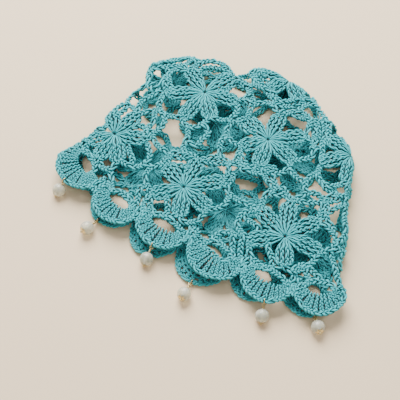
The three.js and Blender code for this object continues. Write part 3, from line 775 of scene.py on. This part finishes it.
def mark_corners(mesh, lines, closed):
    """Makes the first UV coordinate the length along each tube, and stores each corner's depth, the
    share of painted shade that the yarn's material puts there.
    """
    corners = np.zeros(len(mesh.loops) * 2, np.float32)
    layer = mesh.uv_layers[0].data
    layer.foreach_get("uv", corners)
    corners = corners.reshape(-1, 2)
    quads = sum(1 for face in mesh.polygons if len(face.vertices) == 4)
    segments = sum(len(line) - (0 if closed else 1) for line in lines)
    around = quads // segments
    distance = []
    depth = []
    for line in lines:
        ring = np.vstack((line, line[:1])) if closed else line
        along = travelled(ring[:, :3])
        for values, column in ((distance, along), (depth, ring[:, 4])):
            pairs = np.column_stack((column[:-1], column[1:], column[1:], column[:-1]))
            values.append(np.repeat(pairs, around, axis=0).ravel())
    sides = len(corners) - 4 * quads
    corners[sides:, 0] = np.concatenate(distance)
    layer.foreach_set("uv", corners.ravel())
    # The tubes' end caps take the full painted shade
    inside = np.concatenate((np.ones(sides), *depth)).astype(np.float32)
    mesh.attributes.new("depth", "FLOAT", "CORNER").data.foreach_set("value", inside)


def finish_mesh(mesh):
    """Closes the seams, turns the faces outwards and shades them smooth."""
    bm = bmesh.new()
    bm.from_mesh(mesh)
    bmesh.ops.remove_doubles(bm, verts=bm.verts, dist=1e-6)
    bmesh.ops.recalc_face_normals(bm, faces=bm.faces)
    bm.to_mesh(mesh)
    bm.free()
    mesh.shade_smooth()


def add_piece(mesh, material, node):
    """Links a finished mesh as the piece that stands for a node."""
    finish_mesh(mesh)
    mesh.materials.clear()
    mesh.materials.append(material)
    piece = bpy.data.objects.new(mesh.name, mesh)
    bpy.context.scene.collection.objects.link(piece)
    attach(piece, "root")
    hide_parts(node)
    return piece


def way_matrix(sideways, way, upright, spot):
    """A turn and move that takes X, Y and Z to the three given ways, at the spot."""
    turn = Matrix((sideways, way, upright)).transposed()
    return Matrix.Translation(spot) @ turn.to_4x4()


# Materials

def opaque(colour, share=1.0):
    """A colour, lightened or darkened by a share, with full alpha."""
    return (*[min(1, share * part) for part in colour], 1)


class Nodes:
    """A material's nodes, made and linked in short calls."""

    def __init__(self, name):
        self.material = bpy.data.materials.new(name)
        self.material.use_nodes = True
        self.tree = self.material.node_tree
        self.shader = self.tree.nodes["Principled BSDF"]
        self.place = self.add("ShaderNodeTexCoord")

    def fill(self, socket, value):
        """Links another node's output to a socket, or sets the socket's value."""
        if isinstance(value, bpy.types.NodeSocket):
            self.tree.links.new(value, socket)
        else:
            socket.default_value = value

    def set(self, node, **values):
        for name, value in values.items():
            self.fill(node.inputs[name.replace("_", " ")], value)

    def add(self, kind, source=None, **values):
        """A node with the given properties and inputs, whose first input comes from the source."""
        node = self.tree.nodes.new(kind)
        for name in [name for name in values if hasattr(node, name)]:
            setattr(node, name, values.pop(name))
        self.set(node, **values)
        if source:
            self.fill(node.inputs[0], source)
        return node

    def noise(self, **values):
        """Noise over the piece's own coordinates."""
        spot = self.place.outputs["Object"]
        return self.add("ShaderNodeTexNoise", Vector=spot, **values).outputs["Fac"]

    def spread(self, source, **values):
        return self.add("ShaderNodeMapRange", source, **values).outputs[0]

    def math(self, operation, first, second=0.0):
        node = self.add("ShaderNodeMath", first, operation=operation)
        self.fill(node.inputs[1], second)
        return node.outputs[0]

    def ramp(self, source, *stops):
        """A colour between two stops, each a position and an opaque colour."""
        node = self.add("ShaderNodeValToRGB", source)
        for element, (position, colour) in zip(node.color_ramp.elements, stops):
            element.position = position
            element.color = colour
        return node.outputs["Color"]

    def mix(self, factor, first, second, **values):
        node = self.add("ShaderNodeMix", data_type="RGBA", **values)
        self.set(node, Factor=factor, A=first, B=second)
        return node.outputs["Result"]


def yarn_material(yarn):
    """Cotton yarn: four plies that wind along each strand, with soft fibres and uneven dye, and
    painted shade between the plies, in crevices and where strands lie deep in a stitch.
    """
    plies = 4
    ply_turn = 0.0042
    nodes = Nodes("cotton_yarn")
    parts = nodes.add("ShaderNodeSeparateXYZ", nodes.place.outputs["UV"])
    along = nodes.math("MULTIPLY", parts.outputs["X"], 1 / ply_turn)
    wound = nodes.math("ADD", parts.outputs["Y"], along)
    wave = nodes.math("SINE", nodes.math("MULTIPLY", wound, TAU * plies))
    ply = nodes.spread(wave, From_Min=-1.0, From_Max=1.0)
    dye = nodes.noise(Scale=110.0, Detail=3.0)
    fibre = nodes.noise(Scale=2600.0, Detail=2.0)

    # Deep painted shade, half the groove shade, for crevices and for yarn that lies deep in a
    # stitch
    dark = opaque(yarn.shade, 0.5)
    inside = nodes.add("ShaderNodeAttribute", attribute_name="depth")
    # Ambient occlusion read by the material paints shade into the crevices between strands
    painted_crevice_shade = nodes.add("ShaderNodeAmbientOcclusion", samples=8, Distance=0.002)
    open_share = nodes.spread(painted_crevice_shade.outputs["AO"], From_Min=0.42, From_Max=1.0)
    raised = nodes.spread(ply, To_Min=0.78, To_Max=1.0)
    # Painted shade in the grooves between the plies
    ply_groove_shaded = nodes.mix(raised, opaque(yarn.shade), opaque(yarn.colour))
    # Deeper painted shade where a strand lies deep in a stitch
    core_shaded = nodes.mix(inside.outputs["Fac"], ply_groove_shaded, dark)
    shaded = nodes.mix(open_share, dark, core_shaded)
    tint = nodes.ramp(dye, (0.3, (0.84, 0.9, 0.9, 1)), (0.7, (1.0, 1.0, 1.0, 1)))
    tone = nodes.mix(1.0, shaded, tint, blend_type="MULTIPLY")

    relief = nodes.add("ShaderNodeBump", Strength=0.7, Distance=0.00018, Height=ply)
    fuzz = nodes.add("ShaderNodeBump", Strength=0.35, Distance=0.0001, Height=fibre,
                     Normal=relief.outputs["Normal"])
    nodes.set(nodes.shader, Base_Color=tone, Normal=fuzz.outputs["Normal"], Roughness=0.6,
              Specular_IOR_Level=0.2, Sheen_Weight=0.08, Sheen_Roughness=0.4)
    return nodes.material


def stone_material(drop):
    """Milky stone with clouds in it, polished."""
    nodes = Nodes("milky_stone")
    cloud = nodes.noise(Scale=260.0, Detail=4.0, Distortion=0.8)
    colour = nodes.ramp(cloud, (0.35, opaque(drop.stone, 0.8)), (0.68, opaque(drop.stone, 1.16)))
    gloss = nodes.spread(cloud, To_Min=0.1, To_Max=0.24)
    nodes.set(nodes.shader, Base_Color=colour, Roughness=gloss, Transmission_Weight=0.5, IOR=1.45,
              Subsurface_Weight=0.5, Subsurface_Scale=0.003, Subsurface_Radius=(1.0, 1.0, 0.8))
    return nodes.material


def gold_material(drop):
    """Gilt wire, a little dulled where it has been handled."""
    nodes = Nodes("gilt_wire")
    wear = nodes.noise(Scale=900.0, Detail=3.0)
    colour = nodes.ramp(wear, (0.3, opaque(drop.gold, 0.55)), (0.6, opaque(drop.gold)))
    gloss = nodes.spread(wear, To_Min=0.38, To_Max=0.2)
    nodes.set(nodes.shader, Base_Color=colour, Roughness=gloss, Metallic=1.0)
    return nodes.material


def floor_material(stage):
    """Plain matt floor."""
    nodes = Nodes("pale_floor")
    grain = nodes.noise(Scale=6.0, Detail=3.0)
    colour = nodes.ramp(grain, (0.0, opaque(stage.floor, 0.97)), (1.0, opaque(stage.floor)))
    nodes.set(nodes.shader, Base_Color=colour, Roughness=0.7, Specular_IOR_Level=0.25)
    return nodes.material


def material(name, make, settings):
    return bpy.data.materials.get(name) or make(settings)


# Operators

def work_piece(piece, strands, yarn):
    """Turns a piece's strands into its mesh, in place of its solid."""
    radius = yarn.strand / MM
    lines = [in_space(piece, strand, radius) for strand in strands]
    mesh = tube_mesh(f"{piece['name']}_yarn", lines, yarn.strand)
    return add_piece(mesh, material("cotton_yarn", yarn_material, yarn), piece["name"])


def joining_strands(piece, table, yarn, rng):
    strands = []
    for way in join_paths(piece, table):
        strands += plaited(smooth_path(way), rng, yarn.plait / MM, taper=1.0)
    net = net_spots(piece["side"], table)
    for way in FILL_CHAINS.get(piece["name"], []):
        path = smooth_path(fastened(way, net))
        strands += plaited(path, rng, yarn.plait / MM, base=rng.uniform(-1.2, 0.2))
    return strands


class HAT_OT_work_motifs(bpy.types.Operator):
    """Works the crown and the two rounds of six-petal motifs, with the chains that join them"""
    bl_idname = "hat.work_motifs"
    bl_label = "Work the motifs"

    def execute(self, context):
        yarn = context.scene.hat_yarn
        table = joins()
        for number, motif in enumerate(MOTIFS):
            rng = random.Random(100 + number)
            strands = motif_strands(motif, yarn, rng) + joining_strands(motif, table, yarn, rng)
            work_piece(motif, strands, yarn)
        return {"FINISHED"}


class HAT_OT_work_scallops(bpy.types.Operator):
    """Works the scallops of the brim, with their eyelet chains"""
    bl_idname = "hat.work_scallops"
    bl_label = "Work the scallops"

    def execute(self, context):
        yarn = context.scene.hat_yarn
        table = joins()
        for number, scallop in enumerate(SCALLOPS):
            rng = random.Random(200 + number)
            strands = scallop_strands(scallop, yarn, rng) + junction_strands(scallop, yarn, rng)
            strands += joining_strands(scallop, table, yarn, rng)
            work_piece(scallop, strands, yarn)
        return {"FINISHED"}


def hanging(row, bead_radius):
    """Where a drop hangs, in metres: its way out, ring, eye and bead, and the pin's shank."""
    name, x, y = row
    scallop = next(item for item in SCALLOPS if item["name"] == name)
    outward, sideways = facing_ways(scallop["facing"])
    away = np.array((x, y)) - middle_of(scallop)
    turn = math.atan2(away @ sideways / scallop["half"], away @ outward / scallop["drop"])
    half = scallop["half"] - RIM_MARGIN
    hole = scallop_spot(scallop, turn, half, scallop["drop"] - RIM_MARGIN)[0]
    lift = BACK_RIM_LIFT if scallop["side"] == BACK else 0
    height = float(layer_height(hole[1:2], scallop["side"])[0]) + lift
    out = Vector((x - hole[0], y - hole[1], 0)).normalized()
    ring = Vector((*hole, height)) + out * RING_RADIUS
    hang = RING_DROP if scallop["side"] == FRONT else -RING_DROP / 3
    eye = ring + RING_RADIUS * (out * math.cos(hang) - Vector((0, 0, math.sin(hang))))
    shank = max(bead_radius + NECK_LENGTH + EYE_RADIUS, (Vector((x, y, bead_radius)) - eye).length)
    level = math.sqrt(shank ** 2 - (eye.z - bead_radius) ** 2)
    bead = eye + out * level
    bead.z = bead_radius
    shift = Vector(CHART_TO_HAT)
    return out, (ring + shift) * MM, (eye + shift) * MM, (bead + shift) * MM, shank * MM


def drop_ways(row, settings):
    out, ring, eye, bead, shank = hanging(row, settings.bead / MM)
    way = (eye - bead).normalized()
    sideways = Vector((-out.y, out.x, 0))
    upright = sideways.cross(way)
    pin_turn = way_matrix(sideways, way, upright, bead)
    ring_turn = way_matrix(out, Vector((0, 0, 1)), -sideways, ring)
    return pin_turn, ring_turn, shank


def turned_profile(bm, profile, steps):
    """Spins a closed profile of X and Y points once round the Y axis."""
    start = [bm.verts.new((x, y, 0)) for x, y in profile]
    edges = [bm.edges.new((start[i - 1], start[i])) for i in range(len(start))]
    bmesh.ops.spin(bm, geom=start + edges, cent=(0, 0, 0), axis=(0, 1, 0), angle=TAU,
                   steps=steps, use_merge=True)


class HAT_OT_thread_beads(bpy.types.Operator):
    """Turns the drilled stone beads"""
    bl_idname = "hat.thread_beads"
    bl_label = "Thread the beads"

    def execute(self, context):
        settings = context.scene.hat_drops
        stone = material("milky_stone", stone_material, settings)
        radius = settings.bead
        bore = math.asin(BORE_RADIUS * MM / radius)
        profile = [(radius * math.sin(angle), -radius * math.cos(angle))
                   for angle in np.linspace(bore, math.pi - bore, 33)]
        for number, row in enumerate(DROPS, 1):
            bm = bmesh.new()
            turned_profile(bm, profile, 48)
            bmesh.ops.transform(bm, matrix=drop_ways(row, settings)[0], verts=bm.verts)
            mesh = bpy.data.meshes.new(f"bead_{number}_stone")
            bm.to_mesh(mesh)
            bm.free()
            add_piece(mesh, stone, f"bead_{number}")
        return {"FINISHED"}


def pin_lines(shank, bead_radius, wire):
    """The pin's wire through the bead, its open eye and the wraps of its neck, along Y."""
    eye_radius = EYE_RADIUS * MM
    foot = shank - eye_radius
    tail = 0.6 * MM
    straight = [(0, y, 0, 1, 0) for y in np.linspace(-bead_radius - tail, foot, 12)]
    eye = [(eye_radius * math.sin(angle), shank - eye_radius * math.cos(angle), 0, 1, 0)
           for angle in np.linspace(0, TAU, 33)]
    neck = bead_radius + wire
    wraps = max(1.5, (foot - neck) / (2.05 * wire))
    coil_radius = 1.7 * wire
    coil = [(coil_radius * math.cos(TAU * wraps * share), neck + (foot - neck) * share,
             coil_radius * math.sin(TAU * wraps * share), 1, 0) for share in np.linspace(0, 1, 65)]
    return [np.array(line) for line in (straight, eye, coil)]


class HAT_OT_bend_wire(bpy.types.Operator):
    """Bends the gilt pins with their end caps, and the jump rings that hold them"""
    bl_idname = "hat.bend_wire"
    bl_label = "Bend the wire"

    def execute(self, context):
        settings = context.scene.hat_drops
        gilt = material("gilt_wire", gold_material, settings)
        for number, row in enumerate(DROPS, 1):
            pin_turn, ring_turn, shank = drop_ways(row, settings)
            pin = self.pin_mesh(number, settings, shank, pin_turn)
            ring = self.ring_mesh(number, ring_turn)
            add_piece(pin, gilt, f"bead_pin_{number}")
            add_piece(ring, gilt, f"jump_ring_{number}")
        return {"FINISHED"}

    def pin_mesh(self, number, settings, shank, turn):
        lines = pin_lines(shank, settings.bead, settings.wire)
        mesh = tube_mesh(f"bead_pin_{number}_wire", lines, settings.wire, sides=2)
        bm = bmesh.new()
        bm.from_mesh(mesh)
        turned_profile(bm, self.cap_profile(settings.bead), 36)
        self.point_cap(bm, settings.bead)
        bmesh.ops.transform(bm, matrix=turn, verts=bm.verts)
        bm.to_mesh(mesh)
        bm.free()
        return mesh

    @staticmethod
    def ring_mesh(number, turn):
        radius = RING_RADIUS * MM
        circle = [(radius * math.cos(angle), radius * math.sin(angle), 0, 1, 0)
                  for angle in np.linspace(0, TAU, 41)[:-1]]
        lines = [np.array(circle)]
        mesh = tube_mesh(f"jump_ring_{number}_wire", lines, 0.4 * MM, closed=True, sides=2)
        mesh.transform(turn)
        return mesh

    @staticmethod
    def cap_profile(radius):
        """A thin cup that hugs the bead's end, with a ball below it."""
        cup = np.linspace(CAP_ANGLE, math.radians(7), 5)
        inner = radius + 0.05 * MM
        outer = radius + 0.2 * MM
        ball_radius = 0.85 * MM
        ball_middle = radius + 0.9 * MM
        inside = [(inner * math.sin(angle), -inner * math.cos(angle)) for angle in reversed(cup)]
        outside = [(outer * math.sin(angle), -outer * math.cos(angle)) for angle in cup]
        ball = [(ball_radius * math.sin(angle), -ball_middle - ball_radius * math.cos(angle))
                for angle in np.linspace(2.2, 0.1, 9)]
        return inside + outside + ball

    @staticmethod
    def point_cap(bm, radius):
        """Draws the cap's round edge in between its points."""
        whole = 0.2
        notch = 0.35
        for vert in bm.verts:
            out = math.hypot(vert.co.x, vert.co.z)
            angle = math.atan2(out, -vert.co.y)
            if out > 0.15 * radius and whole < angle < 1:
                between = (1 - math.cos(CAP_POINTS * math.atan2(vert.co.z, vert.co.x))) / 2
                drawn = angle * (1 - notch * between * (angle - whole) / (CAP_ANGLE - whole))
                reach = math.hypot(out, vert.co.y)
                vert.co.x *= reach * math.sin(drawn) / out
                vert.co.z *= reach * math.sin(drawn) / out
                vert.co.y = -reach * math.cos(drawn)


class HAT_OT_set_stage(bpy.types.Operator):
    """Sets the plain floor, the soft lights and the camera"""
    bl_idname = "hat.set_stage"
    bl_label = "Set the stage"

    def execute(self, context):
        stage = context.scene.hat_stage
        bm = bmesh.new()
        bmesh.ops.create_grid(bm, x_segments=1, y_segments=1, size=3)
        mesh = bpy.data.meshes.new("floor")
        bm.to_mesh(mesh)
        bm.free()
        mesh.materials.append(floor_material(stage))
        floor = bpy.data.objects.new("floor", mesh)
        context.scene.collection.objects.link(floor)

        self.add_camera(context, stage)
        self.add_light(context, "key_light", (-0.75, 0.85, 1.2), 1.3, stage.key)
        self.add_light(context, "fill_light", (0.9, -0.9, 1.2), 1.4, 0.04 * stage.key)
        world = context.scene.world or bpy.data.worlds.new("studio")
        context.scene.world = world
        world.use_nodes = True
        sky = world.node_tree.nodes["Background"].inputs
        sky["Color"].default_value = (1.0, 0.98, 0.96, 1)
        sky["Strength"].default_value = 0.5
        return {"FINISHED"}

    @staticmethod
    def add_camera(context, stage):
        """A camera that looks at the hat's middle, framed for a square picture."""
        back = Vector((math.sin(stage.turn) * math.cos(stage.tilt),
                       -math.cos(stage.turn) * math.cos(stage.tilt), math.sin(stage.tilt)))
        right = Vector((math.cos(stage.turn), math.sin(stage.turn), 0))
        camera = bpy.data.cameras.new("camera")
        camera.sensor_width = 36
        seen_width = PICTURE_WIDTH * MM_PER_PIXEL * MM
        camera.lens = camera.sensor_width * CAMERA_DISTANCE / seen_width
        camera.clip_start = 0.01
        holder = bpy.data.objects.new("camera", camera)
        target = Vector((*CHART_TO_HAT[:2], 8)) * MM
        spot = target + back * CAMERA_DISTANCE
        holder.matrix_world = way_matrix(right, back.cross(right), back, spot)
        context.scene.collection.objects.link(holder)
        context.scene.camera = holder

    @staticmethod
    def add_light(context, name, spot, size, power):
        """A square soft light that faces the hat."""
        light = bpy.data.lights.new(name, "AREA")
        light.shape = "SQUARE"
        light.size = size
        light.energy = power
        holder = bpy.data.objects.new(name, light)
        holder.location = spot
        holder.rotation_euler = (-Vector(spot)).to_track_quat("-Z", "Y").to_euler()
        context.scene.collection.objects.link(holder)


STEPS = (
    HAT_OT_set_stage,
    HAT_OT_work_motifs,
    HAT_OT_work_scallops,
    HAT_OT_thread_beads,
    HAT_OT_bend_wire,
)


class HAT_PT_panel(bpy.types.Panel):
    """The steps of making the hat, and its sizes and colours"""
    bl_idname = "HAT_PT_panel"
    bl_label = "Crochet Hat"
    bl_space_type = "VIEW_3D"
    bl_region_type = "UI"
    bl_category = "Crochet Hat"

    def draw(self, context):
        for step in STEPS:
            self.layout.operator(step.bl_idname)
        for settings in (context.scene.hat_yarn, context.scene.hat_drops, context.scene.hat_stage):
            box = self.layout.box()
            for name in type(settings).__annotations__:
                box.prop(settings, name)


CLASSES = (YarnSettings, DropSettings, StageSettings, *STEPS, HAT_PT_panel)


def register():
    for item in CLASSES:
        bpy.utils.register_class(item)
    bpy.types.Scene.hat_yarn = bpy.props.PointerProperty(type=YarnSettings)
    bpy.types.Scene.hat_drops = bpy.props.PointerProperty(type=DropSettings)
    bpy.types.Scene.hat_stage = bpy.props.PointerProperty(type=StageSettings)


def unregister():
    del bpy.types.Scene.hat_stage
    del bpy.types.Scene.hat_drops
    del bpy.types.Scene.hat_yarn
    for item in reversed(CLASSES):
        bpy.utils.unregister_class(item)


def main():
    register()
    bpy.ops.hat.set_stage()
    bpy.ops.hat.work_motifs()
    bpy.ops.hat.work_scallops()
    bpy.ops.hat.thread_beads()
    bpy.ops.hat.bend_wire()


if __name__ == "__main__":
    main()
